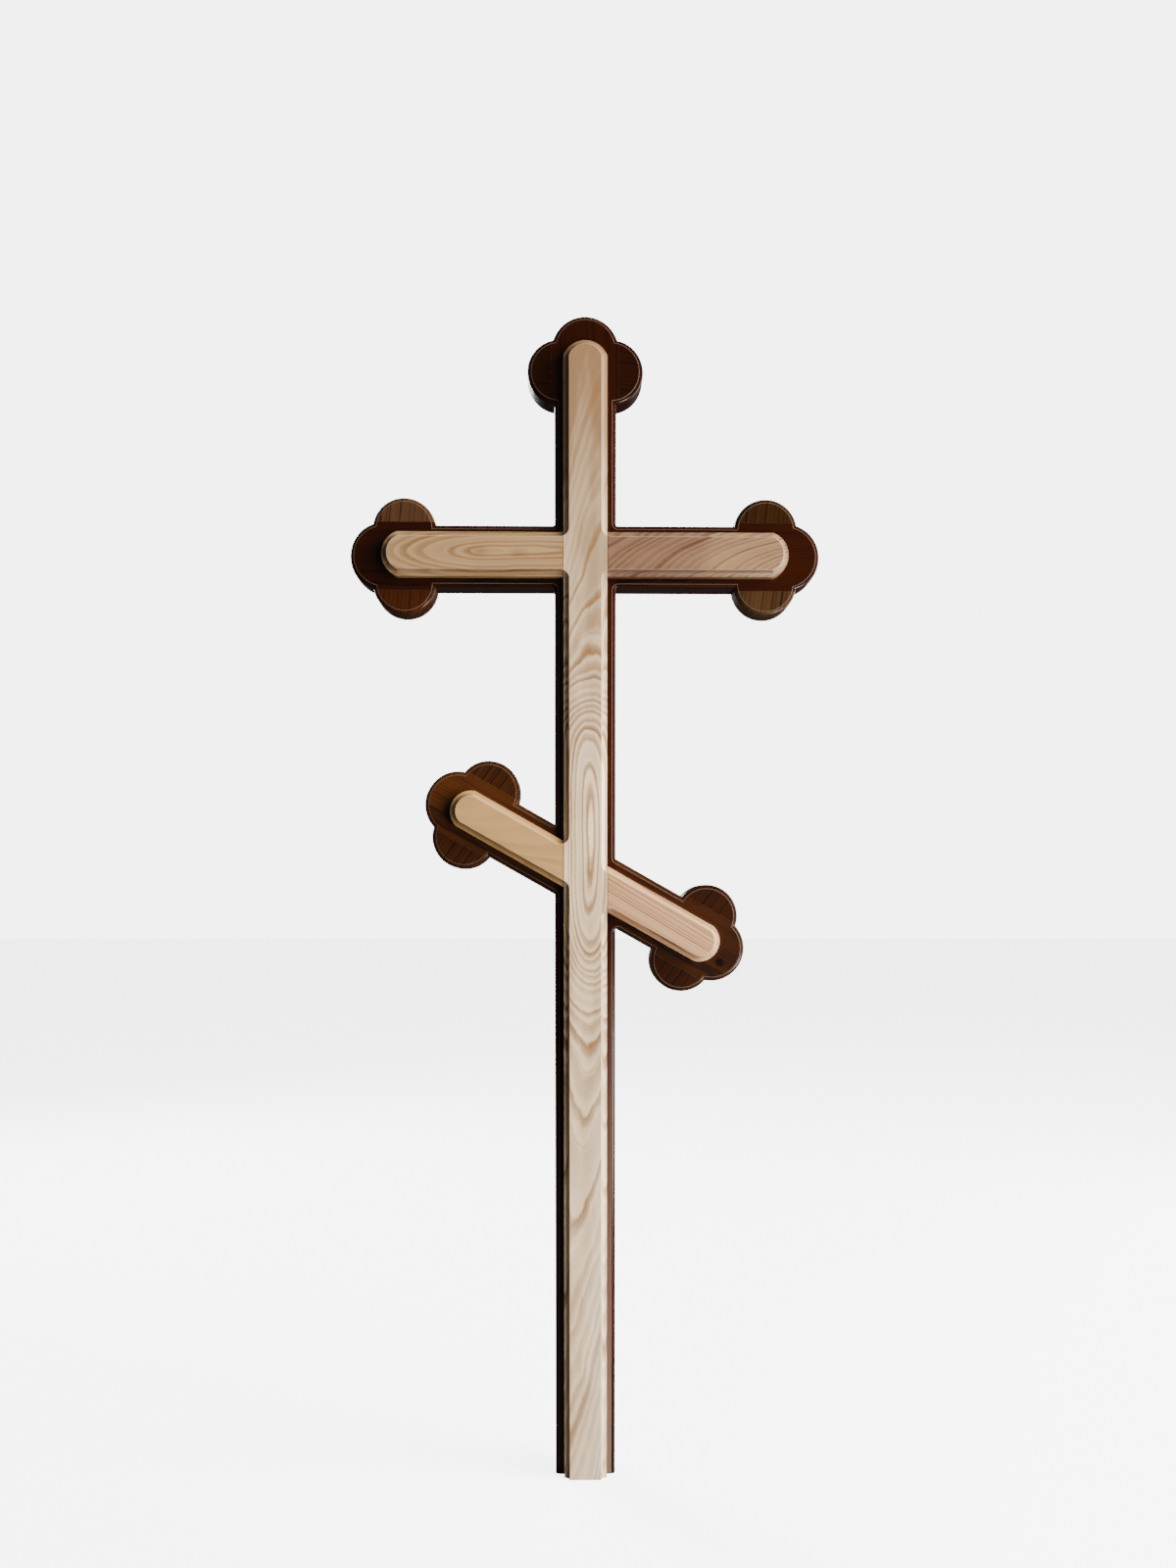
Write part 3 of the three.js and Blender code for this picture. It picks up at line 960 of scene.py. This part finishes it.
@dataclass
class TrefoilBase(Layer):
    """The dark stained cross: three half-lapped beams and ten glued side lobes."""

    bearing: float = 4.0
    middle_radius: float = 60.0
    side_radius: float = 57.0
    side_setback: float = 97.0
    side_aside: float = 46.0
    seam: float = 60.0
    spare: float = 40.0
    arc_steps: int = 64
    short_steps: int = 4

    def moulding(self) -> Moulding:
        """Round-over of the base's front edges."""
        return Moulding(EdgeShape.ROUND_OVER, self.sizes.beam_back, self.sizes.beam_front, radius=6.6,
                        step=0.7, back_ease=1.0, arris=0.3, joint_ease=0.1, worn_and_sheen=1.1, divisions=10)

    def half_width(self, arm: Arm) -> float:
        """Half the width of the beams, which are all cut from the same timber."""
        return self.sizes.beam_half

    def end(self, arm: Arm, level: Level) -> Outline:
        """Draws a beam's own part of a trefoil end.

        Args:
            arm: The arm that ends in it.
            level: The height on the moulding.

        Returns:
            Points from the arm's right edge round the tip to its left edge.
        """
        side_r, middle_r = self.side_radius - level.inset, self.middle_radius - level.inset
        side_c = (arm.reach - self.side_setback, -self.side_aside)
        middle_c = (arm.reach - self.middle_radius, 0.0)
        edge = self.sizes.beam_half - level.inset - self.side_aside
        root = (side_c[0] - math.sqrt(side_r ** 2 - edge ** 2), side_c[1] - edge)
        seam = self.seam - level.ease
        reach = math.sqrt(side_r ** 2 - (seam - self.side_aside) ** 2)
        near, far = (side_c[0] - reach, -seam), (side_c[0] + reach, -seam)
        apart = math.dist(side_c, middle_c)
        back = (apart ** 2 + middle_r ** 2 - side_r ** 2) / (2 * apart)
        off = math.sqrt(middle_r ** 2 - back ** 2)
        toward = ((side_c[0] - middle_c[0]) / apart, (side_c[1] - middle_c[1]) / apart)
        notch = (middle_c[0] + back * toward[0] - off * toward[1], back * toward[1] + off * toward[0])
        half = [
            *arc(side_c, side_r, bearing_of(side_c, root), bearing_of(side_c, near), self.short_steps),
            *arc(side_c, side_r, bearing_of(side_c, far), bearing_of(side_c, notch), self.short_steps),
            *arc(middle_c, middle_r, bearing_of(middle_c, notch), 0.0, self.arc_steps // 2)[1:],
        ]
        mirrored = [(u, -v) for u, v in reversed(half[:-1])]
        return [arm.place(u, v) for u, v in half + mirrored]

    def bar_outline(self, left: Arm, right: Arm) -> Callable[[Level], Outline]:
        """Prepares the outline of a bar that crosses the upright.

        Args:
            left: Its left arm.
            right: Its right arm.

        Returns:
            A function that draws the closed outline of a level.
        """
        def outline(level: Level) -> Outline:
            """Outline of the bar at one level."""
            points = self.end(right, level)
            points += reversed(self.corner(right, 1, 1).on_bar(level))
            points += self.corner(right, -1, 1).on_bar(level)
            points += self.end(left, level)
            points += reversed(self.corner(right, -1, -1).on_bar(level))
            return points + self.corner(right, 1, -1).on_bar(level)
        return outline

    def build_beams(self, woods: dict[str, bpy.types.Material]) -> None:
        """Builds the upright and both bars and cuts their half-laps.

        Args:
            woods: The finish of each node.
        """
        sizes = self.sizes
        levels = self.moulding().levels()
        width = 2 * sizes.beam_half
        long = 8 * width
        bars = {
            "base_crossbar": ("left", "right"),
            "base_slanted_bar": ("slanted_left", "slanted_right"),
        }
        upright = loft("upright_beam", levels, self.upright_outline)
        finish = woods["base_upright"]
        laps = {"Width": width * MM, "Length": long * MM, "Nearest": 0.0,
                "Furthest": (self.spare - sizes.beam_back) * MM, "Finish": finish}
        for number, (_, right) in enumerate(bars.values()):
            laps[f"Height {number}"] = sizes.arms[right].height * MM
            laps[f"Angle {number}"] = -sizes.arms[right].angle
        dress(finished(upright, laps, half_lap_tree(len(bars))), finish, "base_upright")
        one_lap = half_lap_tree(1)
        for node, (left, right) in bars.items():
            bar = loft(node.replace("base_", "") + "_beam", levels,
                       self.bar_outline(sizes.arms[left], sizes.arms[right]))
            lap = {"Width": long * MM, "Length": width * MM, "Nearest": -(sizes.beam_front + self.spare) * MM,
                   "Furthest": 0.0, "Finish": woods[node],
                   "Height 0": sizes.arms[right].height * MM, "Angle 0": 0.0}
            dress(finished(bar, lap, one_lap), woods[node], node)

    def build_lobes(self, woods: dict[str, bpy.types.Material]) -> None:
        """Builds the ten glued side lobes.

        Args:
            woods: The finish of each node.
        """
        levels = self.moulding().levels()
        profile = [(level.inset * MM, level.ease * MM, level.out * MM) for level in levels]
        tree = lobe_tree()
        for lobe in LOBES:
            arm = self.sizes.arms[lobe.arm]
            piece = mesh_object(lobe.node.replace("lobe_", "side_lobe_"), profile, [])
            mark_wear_and_sheen(piece, [level.wear_and_sheen for level in levels])
            finished(piece, {
                "Lobe radius": self.side_radius * MM, "Centre aside": self.side_aside * MM,
                "Joint aside": self.seam * MM, "Along arm": (arm.reach - self.side_setback) * MM,
                "Side": lobe.side, "Arm height": arm.height * MM, "Arm angle": arm.angle,
                "Steps round": self.arc_steps, "Levels": len(levels), "Finish": woods[lobe.node],
            }, tree)
            dress(piece, woods[lobe.node], lobe.node)


@dataclass
class AshOverlay(Layer):
    """The paler cross: five moulded ash boards on the front of the base."""

    bearing: float = 6.0
    end_rise: float = 27.0
    arc_steps: int = 40

    def moulding(self) -> Moulding:
        """Cove of the overlay's front edges."""
        return Moulding(EdgeShape.COVE, self.sizes.board_back, self.sizes.board_front, radius=10.0, step=0.0,
                        back_ease=0.5, arris=0.4, joint_ease=0.2, worn_and_sheen=0.7, divisions=12)

    def half_width(self, arm: Arm) -> float:
        """Half the width of an arm's board."""
        return arm.board_half

    def end(self, arm: Arm, level: Level) -> Outline:
        """Draws the bowed end of a board.

        Args:
            arm: The board's arm.
            level: The height on the moulding.

        Returns:
            Points from the board's right edge round the tip to its left edge.
        """
        half, rise = arm.board_half, self.end_rise
        bow = (half ** 2 + rise ** 2) / (2 * rise)
        corner = math.asin((half - level.inset) / (bow - level.inset))
        curve = arc((arm.board - bow, 0.0), bow - level.inset, -corner, corner, self.arc_steps)
        return [arm.place(u, v) for u, v in curve]

    def arm_outline(self, arm: Arm) -> Callable[[Level], Outline]:
        """Prepares the outline of an arm's board, butted against the upright board.

        Args:
            arm: The arm that it lies on.

        Returns:
            A function that draws the closed outline of a level.
        """
        def outline(level: Level) -> Outline:
            """Outline of the board at one level."""
            outwards = self.corner(arm, arm.side, -arm.side).on_bar(level)
            inwards = reversed(self.corner(arm, arm.side, arm.side).on_bar(level))
            return [*outwards, *self.end(arm, level), *inwards]
        return outline

    def build(self, woods: dict[str, bpy.types.Material], slots: dict[str, str]) -> None:
        """Builds the five boards.

        Args:
            woods: The finish of each node.
            slots: The record's slot of each node; not used.
        """
        levels = self.moulding().levels()
        dress(loft("upright_board", levels, self.upright_outline), woods["overlay_upright"],
              "overlay_upright")
        for name in ("left", "right", "slanted_left", "slanted_right"):
            node = f"overlay_{name}_arm"
            board = loft(f"{name}_board", levels, self.arm_outline(self.sizes.arms[name]))
            dress(board, woods[node], node)


@dataclass(frozen=True)
class Softbox:
    """A softbox: its middle and size in metres, its power in watts and whether the lacquer mirrors it."""

    name: str
    place: tuple[float, float, float]
    width: float
    height: float
    power: float
    mirrored: bool = True


# The two strong softboxes light the wood through polarising film, which keeps their glare off the lacquer
SOFTBOXES = (
    Softbox("key_softbox", (5.6, -1.55, 3.2), 2.6, 6.0, 1650.0, False),
    Softbox("key_sheen_softbox", (5.6, -1.55, 3.2), 2.6, 6.0, 150.0),
    Softbox("front_softbox", (4.2, -3.5, 2.6), 3.2, 3.2, 310.0, False),
    Softbox("low_softbox", (1.5, -1.5, 0.3), 1.2, 0.6, 46.0),
    Softbox("side_softbox", (3.2, 1.2, 1.5), 2.5, 3.0, 95.0),
    Softbox("back_softbox", (-2.4, 3.0, 3.0), 1.6, 1.6, 360.0),
)


@dataclass
class Studio:
    """A pale floor, soft light from the right and the camera where the photograph was taken."""

    focal_length: float = 27.9
    camera_x: float = -29.0
    camera_distance: float = 2230.5
    camera_height: float = 1070.0
    pitch: float = math.radians(-3.04)
    yaw: float = math.radians(0.88)
    rise: float = 0.114
    floor_glow: float = 4.4
    backdrop: float = 5.5
    room_light: float = 0.13
    lit_point: tuple[float, float, float] = (0.0, 0.0, 1.15)

    def build_camera(self) -> None:
        """Places the camera and makes it the scene's."""
        data = bpy.data.cameras.new("photo_camera")
        data.lens = self.focal_length
        data.sensor_width = 36.0
        data.shift_y = self.rise
        camera = bpy.data.objects.new("photo_camera", data)
        camera.location = (self.camera_x * MM, -self.camera_distance * MM, self.camera_height * MM)
        camera.rotation_euler = (math.pi / 2 + self.pitch, 0.0, -self.yaw)
        bpy.context.scene.collection.objects.link(camera)
        bpy.context.scene.camera = camera

    def build_floor(self) -> None:
        """Lays the floor."""
        reach = 30.0
        floor = mesh_object("floor", [(-reach, -reach, 0.0), (reach, -reach, 0.0), (reach, reach, 0.0),
                                      (-reach, reach, 0.0)], [(0, 1, 2, 3)])
        material = bpy.data.materials.new("backlit_white_floor")
        material.use_nodes = True
        material.node_tree.nodes.clear()
        graph = Graph(material.node_tree)
        seen = graph.add("ShaderNodeLightPath", output="Is Camera Ray")
        paint = graph.add("ShaderNodeMix", {"Factor": seen, "A": srgb("#403e3c"), "B": srgb("#f0efed")},
                          data_type="RGBA")
        matt = graph.add("ShaderNodeBsdfPrincipled", {"Base Color": paint, "Roughness": 0.95,
                                                      "Specular IOR Level": 0.0})
        glow = graph.add("ShaderNodeEmission", {
            "Color": srgb("#ffffff"),
            "Strength": graph.add(MATH, (seen, self.floor_glow), "MULTIPLY"),
        })
        graph.add("ShaderNodeOutputMaterial", {"Surface": graph.add("ShaderNodeAddShader", (matt, glow))})
        floor.data.materials.append(material)

    def build_lights(self) -> None:
        """Hangs the softboxes and sets the even light of the room."""
        for box in SOFTBOXES:
            data = bpy.data.lights.new(box.name, "AREA")
            data.shape = "RECTANGLE"
            data.size = box.width
            data.size_y = box.height
            data.energy = box.power
            light = bpy.data.objects.new(box.name, data)
            light.location = box.place
            light.rotation_mode = "QUATERNION"
            light.rotation_quaternion = (Vector(self.lit_point) - light.location).to_track_quat("-Z", "Y")
            light.visible_glossy = box.mirrored
            bpy.context.scene.collection.objects.link(light)
        world = bpy.data.worlds.new("studio_room")
        bpy.context.scene.world = world
        world.use_nodes = True
        world.node_tree.nodes.clear()
        graph = Graph(world.node_tree)
        seen = graph.add("ShaderNodeLightPath", output="Is Camera Ray")
        dim = graph.add("ShaderNodeBackground", {"Color": srgb("#f2f4f8"), "Strength": self.room_light})
        bright = graph.add("ShaderNodeBackground", {"Color": srgb("#ffffff"), "Strength": self.backdrop})
        mixed = graph.add("ShaderNodeMixShader", (seen, dim, bright))
        graph.add("ShaderNodeOutputWorld", {"Surface": mixed})

    def build(self) -> None:
        """Sets the whole studio up."""
        self.build_camera()
        self.build_floor()
        self.build_lights()


def ash_look(ground: str, ring: str, tint: str, strength: float) -> WoodLook:
    """Planed European ash under clear satin lacquer: a pale soft-sheened face with open brown pore lines."""
    # The worn colour is the pale edge line: partly rubbed wear, partly painted highlight
    return WoodLook(ground, ring, tint, worn_and_sheen="#f3e6d6", wear_and_sheen_strength=0.25, ring_stops=ASH_RING,
                    ring_strength=strength, fibre_strength=0.3, pore_strength=0.55, roughness=0.45,
                    specular=0.4, coat=0.4, coat_roughness=0.28, relief=0.05)


def pine_look(ground: str, ring: str, tint: str, strength: float) -> WoodLook:
    """Planed pine, spirit-stained dark under gloss lacquer: deep brown with the rings as thin dark lines."""
    # The worn colour is the pale edge line: partly rubbed wear, partly painted highlight
    return WoodLook(ground, ring, tint, worn_and_sheen="#8a7264", wear_and_sheen_strength=0.5, ring_stops=PINE_RING,
                    ring_strength=strength, fibre_strength=0.5, pore_strength=0.3, roughness=0.38,
                    specular=0.1, coat=0.5, coat_roughness=0.16, relief=0.03)


@dataclass(frozen=True)
class Lobe:
    """A glued side lobe: its node, the arm that it is on, 1 or -1 for the arm's left or right, its stain,
    lightened on the left trefoil's lobes as painted reflection.
    """

    node: str
    arm: str
    side: float
    stain: WoodLook


UMBER = pine_look("#220a01", "#070100", "#170601", 0.85)
RUSSET = pine_look("#3a1c08", "#140601", "#2a1204", 1.0)
CHESTNUT = pine_look("#2b1103", "#100401", "#200b02", 1.0)
LOBES = (
    Lobe("lobe_top_left", "top", 1.0, UMBER),
    Lobe("lobe_top_right", "top", -1.0, UMBER),
    # The left trefoil's two lobes have lighter grounds as painted reflection of the lacquer, on top of their
    # stain
    Lobe("lobe_left_lower", "left", 1.0, pine_look("#3d1b06", "#140500", "#2b1204", 1.0)),
    Lobe("lobe_left_upper", "left", -1.0, pine_look("#4a301d", "#1a0a05", "#352112", 1.0)),
    Lobe("lobe_right_upper", "right", 1.0, pine_look("#301a06", "#120702", "#221103", 1.0)),
    Lobe("lobe_right_lower", "right", -1.0, pine_look("#422b16", "#1a0b04", "#2e1c0c", 1.0)),
    Lobe("lobe_slanted_left_lower", "slanted_left", 1.0, RUSSET),
    Lobe("lobe_slanted_left_upper", "slanted_left", -1.0, RUSSET),
    Lobe("lobe_slanted_right_upper", "slanted_right", 1.0, CHESTNUT),
    Lobe("lobe_slanted_right_lower", "slanted_right", -1.0, CHESTNUT),
)


def overlay_woods(sizes: CrossSizes) -> dict[str, bpy.types.Material]:
    """Makes the ash of each overlay board.

    Args:
        sizes: The cross's sizes.

    Returns:
        A material for each node.
    """
    arms, front = sizes.arms, sizes.board_front
    frames = {name: ((0.0, arm.height), arm.angle, front) for name, arm in arms.items()}
    boards = {
        "upright": (ash_look("#f8d9b0", "#855f3a", "#87694a", 0.9), Grain(
            *frames["top"],
            ((0, 150), (400, 118), (820, 84), (1190, 6), (1500, 86), (1750, 112), (2100, 160)),
            ((0, -70), (400, -34), (820, 6), (1190, 9), (1500, 9), (1640, 44), (2100, 78)),
            ring_width=6.0, waviness=9.0, seed=1.0,
            # The upright board is tinted darker towards its top
            toning=((0, 0.24), (300, 0.18), (950, 0.18), (1220, 0.0), (1400, 0.17), (1640, 0.47),
                    (1860, 0.77), (2100, 0.95)),
        ), (Spot(8, 577, 2.0, 3.2, 0.7), Spot(-9, 492, 1.6, 2.6, 0.5))),
        "left_arm": (ash_look("#a7855e", "#684420", "#967148", 0.75), Grain(
            *frames["left"],
            ((39, 7), (120, 5), (165, 4), (220, 13), (362, 44)), ((39, 5), (170, 3), (362, 2)),
            ring_width=6.0, waviness=7.0, seed=2.0, butted=True,
        ), (Spot(2, 188, 13, 26, 0.35), Spot(0, 118, 12, 24, 0.3))),
        "right_arm": (ash_look("#967756", "#4d2e1d", "#7b5c46", 0.9), Grain(
            *frames["right"], ((39, 150), (200, 100), (362, 46)), ((39, 62), (362, 60)),
            ring_width=5.2, waviness=5.0, seed=3.0,
            toning=((39, 0.8), (190, 0.75), (240, 0.05), (362, 0.0)), butted=True,
        ), ()),
        "slanted_left_arm": (ash_look("#b48b57", "#765024", "#a17845", 0.35), Grain(
            *frames["slanted_left"], ((39, 210), (274, 190)), ((39, 40), (274, 30)),
            ring_width=5.0, waviness=3.0, seed=4.0, butted=True,
        ), ()),
        "slanted_right_arm": (ash_look("#c99b70", "#6a4228", "#b28356", 1.0), Grain(
            *frames["slanted_right"], ((39, 62), (274, 58)), ((39, -90), (274, -86)),
            ring_width=3.0, waviness=2.5, seed=5.0, butted=True,
        ), ()),
    }
    return {f"overlay_{name}": Wood(f"ash_{name}", *board).build() for name, board in boards.items()}


def base_woods(sizes: CrossSizes) -> dict[str, bpy.types.Material]:
    """Makes the stained pine of each base beam and lobe.

    Args:
        sizes: The cross's sizes.

    Returns:
        A material for each node.
    """
    beam = pine_look("#290c01", "#080100", "#1d0701", 0.85)
    # The slanted bar's ground is made lighter to offset the overlay's cast shadow at its left end: painted
    # light on top of its stain
    slanted = pine_look("#4a260d", "#0e0300", "#291104", 0.85)
    darker_rightwards = ((-324, 0.0), (0, 0.4), (324, 0.85))
    knot = Spot(15.4, 289.7, 10.0, 12.0, 1.7)
    beams = {
        "base_upright": ("top", beam, EVEN, ()),
        "base_crossbar": ("right", beam, EVEN, ()),
        "base_slanted_bar": ("slanted_right", slanted, darker_rightwards, (knot,)),
    }
    woods = []
    for number, (node, (name, stain, toning, spots)) in enumerate(beams.items()):
        arm = sizes.arms[name]
        woods.append((node, stain, spots, Grain(
            (0.0, arm.height), arm.angle, sizes.beam_front,
            ((-420, 60), (2100, 66)), ((-420, 38), (2100, 30)),
            ring_width=3.2, waviness=5.0, seed=20.0 + number, toning=toning,
        )))
    for number, lobe in enumerate(LOBES):
        arm = sizes.arms[lobe.arm]
        centre = arm.place(arm.reach - TrefoilBase.side_setback, 0.0)
        aside = 5 * number
        woods.append((lobe.node, lobe.stain, (), Grain(
            centre, arm.angle + lobe.side * math.pi / 2, sizes.beam_front, ((0, 66), (110, 60)),
            ((0, aside - 150), (110, aside - 140)), ring_width=7.2, waviness=4.0, seed=40.0 + number,
        )))
    return {node: Wood(f"stained_pine_{node}", stain, grain, spots).build()
            for node, stain, spots, grain in woods}


def main() -> None:
    """Builds the cross and its studio."""
    logging.basicConfig(level=logging.INFO, format="%(name)s %(message)s")
    Studio().build()
    sizes = CrossSizes.from_frame()
    slots = {part["node"]: part["material_slot"] for part in frame["record"]["subparts"]}
    dark_woods = base_woods(sizes)
    base = TrefoilBase(sizes)
    base.build_beams(dark_woods)
    base.build_lobes(dark_woods)
    AshOverlay(sizes).build(overlay_woods(sizes), slots)


if __name__ == "__main__":
    main()
